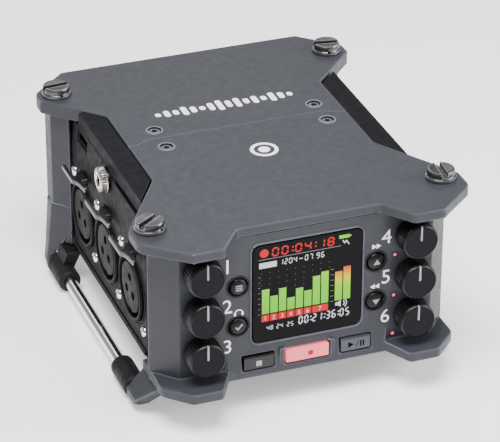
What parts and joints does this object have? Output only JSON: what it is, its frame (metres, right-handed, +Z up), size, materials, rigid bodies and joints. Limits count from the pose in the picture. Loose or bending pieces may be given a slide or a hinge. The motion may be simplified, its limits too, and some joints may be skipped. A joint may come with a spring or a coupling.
{
  "type": "portable field recorder",
  "caption": "Compact audio field recorder with die-cast shells, side XLR inputs, front gain knobs, colour display, transport keys and chrome side bars.",
  "frame": {"origin": "centre of the footprint, on the surface that the side bars stand on", "axes": "+X to the right of a person facing the display, +Y from the display to the back, +Z up"},
  "size_m": [0.1, 0.1198, 0.0629],
  "materials": {
    "shell_paint": "fine textured satin paint, dark bluish grey",
    "flank_black": "matt black with a fine grain",
    "black_plastic": "satin black",
    "sleeve_rubber": "matt black rubber",
    "knob_black": "black anodised, spun face",
    "gunmetal": "gunmetal anodised",
    "screw_steel": "dark nickel plated",
    "chrome": "polished",
    "brass": "machined",
    "display_glass": "gloss black window over a lit display",
    "display_module": "satin",
    "board_green": "solder mask",
    "key_black": "satin black, translucent mark",
    "key_grey": "translucent light grey",
    "key_red": "translucent, lit red from behind",
    "legend_white": "printed white marks",
    "lamp_red": "lit red lamp lens"
  },
  "bodies": {
    "chassis": {"front_shell": "shell_paint", "rear_shell": "shell_paint", "base_plate": "shell_paint", "tripod_insert": "brass", "side_panel_left": "flank_black", "side_panel_right": "flank_black", "main_board": "board_green", "control_board": "board_green", "battery_tray": "black_plastic", "lcd_module": "display_module", "lcd_window": "display_glass", "side_bar_left": "chrome", "side_bar_right": "chrome", "line_out_jack": "chrome", "headphone_jack": "chrome", "timecode_jack": "chrome", "usb_port": "gunmetal", "bar_sleeve_front_left": "sleeve_rubber", "corner_screw_front_left": "screw_steel", "plate_screw_front_left": "screw_steel", "bar_sleeve_front_right": "sleeve_rubber", "corner_screw_front_right": "screw_steel", "plate_screw_front_right": "screw_steel", "bar_sleeve_rear_left": "sleeve_rubber", "corner_screw_rear_left": "screw_steel", "plate_screw_rear_left": "screw_steel", "bar_sleeve_rear_right": "sleeve_rubber", "corner_screw_rear_right": "screw_steel", "plate_screw_rear_right": "screw_steel", "xlr_socket_1": "black_plastic", "xlr_socket_2": "black_plastic", "xlr_socket_3": "black_plastic", "xlr_socket_4": "black_plastic", "xlr_socket_5": "black_plastic", "xlr_socket_6": "black_plastic"},
    "gain_knob_1": {"gain_knob_1": "knob_black"},
    "gain_knob_2": {"gain_knob_2": "knob_black"},
    "gain_knob_3": {"gain_knob_3": "knob_black"},
    "gain_knob_4": {"gain_knob_4": "knob_black"},
    "gain_knob_5": {"gain_knob_5": "knob_black"},
    "gain_knob_6": {"gain_knob_6": "knob_black"},
    "xlr_latch_1": {"xlr_latch_1": "gunmetal"},
    "xlr_latch_2": {"xlr_latch_2": "gunmetal"},
    "xlr_latch_3": {"xlr_latch_3": "gunmetal"},
    "xlr_latch_4": {"xlr_latch_4": "gunmetal"},
    "xlr_latch_5": {"xlr_latch_5": "gunmetal"},
    "xlr_latch_6": {"xlr_latch_6": "gunmetal"},
    "menu_button": {"menu_button": "black_plastic"},
    "solo_button": {"solo_button": "black_plastic"},
    "up_button": {"up_button": "black_plastic"},
    "down_button": {"down_button": "black_plastic"},
    "stop_key": {"stop_key": "key_black"},
    "record_key": {"record_key": "key_red"},
    "play_key": {"play_key": "key_grey"},
    "headphone_knob": {"headphone_knob": "knob_black"},
    "power_slider": {"power_slider": "gunmetal"},
    "battery_door": {"battery_door": "black_plastic"},
    "battery_latch": {"battery_latch": "gunmetal"}
  },
  "joints": [
    {"name": "gain_knob_1_turn", "type": "hinge", "parent": "chassis", "child": "gain_knob_1", "pos_m": [-0.0321, -0.0506, 0.0483], "axis": [0, -1, 0], "range_deg": [-150, 150]},
    {"name": "gain_knob_2_turn", "type": "hinge", "parent": "chassis", "child": "gain_knob_2", "pos_m": [-0.0321, -0.0506, 0.0352], "axis": [0, -1, 0], "range_deg": [-150, 150]},
    {"name": "gain_knob_3_turn", "type": "hinge", "parent": "chassis", "child": "gain_knob_3", "pos_m": [-0.0321, -0.0506, 0.0221], "axis": [0, -1, 0], "range_deg": [-150, 150]},
    {"name": "gain_knob_4_turn", "type": "hinge", "parent": "chassis", "child": "gain_knob_4", "pos_m": [0.0321, -0.0506, 0.0483], "axis": [0, -1, 0], "range_deg": [-150, 150]},
    {"name": "gain_knob_5_turn", "type": "hinge", "parent": "chassis", "child": "gain_knob_5", "pos_m": [0.0321, -0.0506, 0.0352], "axis": [0, -1, 0], "range_deg": [-150, 150]},
    {"name": "gain_knob_6_turn", "type": "hinge", "parent": "chassis", "child": "gain_knob_6", "pos_m": [0.0321, -0.0506, 0.0221], "axis": [0, -1, 0], "range_deg": [-150, 150]},
    {"name": "menu_button_press", "type": "slide", "parent": "chassis", "child": "menu_button", "axis": [0, 1, 0], "range_m": [0, 0.0005], "stiffness_N_per_m": 300, "springref_m": -0.0005},
    {"name": "solo_button_press", "type": "slide", "parent": "chassis", "child": "solo_button", "axis": [0, 1, 0], "range_m": [0, 0.0005], "stiffness_N_per_m": 300, "springref_m": -0.0005},
    {"name": "up_button_press", "type": "slide", "parent": "chassis", "child": "up_button", "axis": [0, 1, 0], "range_m": [0, 0.0005], "stiffness_N_per_m": 300, "springref_m": -0.0005},
    {"name": "down_button_press", "type": "slide", "parent": "chassis", "child": "down_button", "axis": [0, 1, 0], "range_m": [0, 0.0005], "stiffness_N_per_m": 300, "springref_m": -0.0005},
    {"name": "stop_key_press", "type": "slide", "parent": "chassis", "child": "stop_key", "axis": [0, 1, 0], "range_m": [0, 0.0008], "stiffness_N_per_m": 300, "springref_m": -0.0005},
    {"name": "record_key_press", "type": "slide", "parent": "chassis", "child": "record_key", "axis": [0, 1, 0], "range_m": [0, 0.0008], "stiffness_N_per_m": 300, "springref_m": -0.0005},
    {"name": "play_key_press", "type": "slide", "parent": "chassis", "child": "play_key", "axis": [0, 1, 0], "range_m": [0, 0.0008], "stiffness_N_per_m": 300, "springref_m": -0.0005},
    {"name": "xlr_latch_1_press", "type": "slide", "parent": "chassis", "child": "xlr_latch_1", "axis": [1, 0, 0], "range_m": [0, 0.001], "stiffness_N_per_m": 300, "springref_m": -0.0005},
    {"name": "xlr_latch_2_press", "type": "slide", "parent": "chassis", "child": "xlr_latch_2", "axis": [1, 0, 0], "range_m": [0, 0.001], "stiffness_N_per_m": 300, "springref_m": -0.0005},
    {"name": "xlr_latch_3_press", "type": "slide", "parent": "chassis", "child": "xlr_latch_3", "axis": [1, 0, 0], "range_m": [0, 0.001], "stiffness_N_per_m": 300, "springref_m": -0.0005},
    {"name": "xlr_latch_4_press", "type": "slide", "parent": "chassis", "child": "xlr_latch_4", "axis": [-1, 0, 0], "range_m": [0, 0.001], "stiffness_N_per_m": 300, "springref_m": -0.0005},
    {"name": "xlr_latch_5_press", "type": "slide", "parent": "chassis", "child": "xlr_latch_5", "axis": [-1, 0, 0], "range_m": [0, 0.001], "stiffness_N_per_m": 300, "springref_m": -0.0005},
    {"name": "xlr_latch_6_press", "type": "slide", "parent": "chassis", "child": "xlr_latch_6", "axis": [-1, 0, 0], "range_m": [0, 0.001], "stiffness_N_per_m": 300, "springref_m": -0.0005},
    {"name": "headphone_knob_turn", "type": "hinge", "parent": "chassis", "child": "headphone_knob", "pos_m": [0.0423, -0.007, 0.048], "axis": [1, 0, 0], "range_deg": [-140, 140]},
    {"name": "power_slider_slide", "type": "slide", "parent": "chassis", "child": "power_slider", "axis": [0, 1, 0], "range_m": [-0.0024, 0.0024]},
    {"name": "battery_door_open", "type": "hinge", "parent": "chassis", "child": "battery_door", "pos_m": [0, 0.0572, 0.0172], "axis": [-1, 0, 0], "range_deg": [0, 90]},
    {"name": "battery_latch_slide", "type": "slide", "parent": "battery_door", "child": "battery_latch", "axis": [0, 0, -1], "range_m": [0, 0.002], "stiffness_N_per_m": 200, "springref_m": -0.0005}
  ]
}
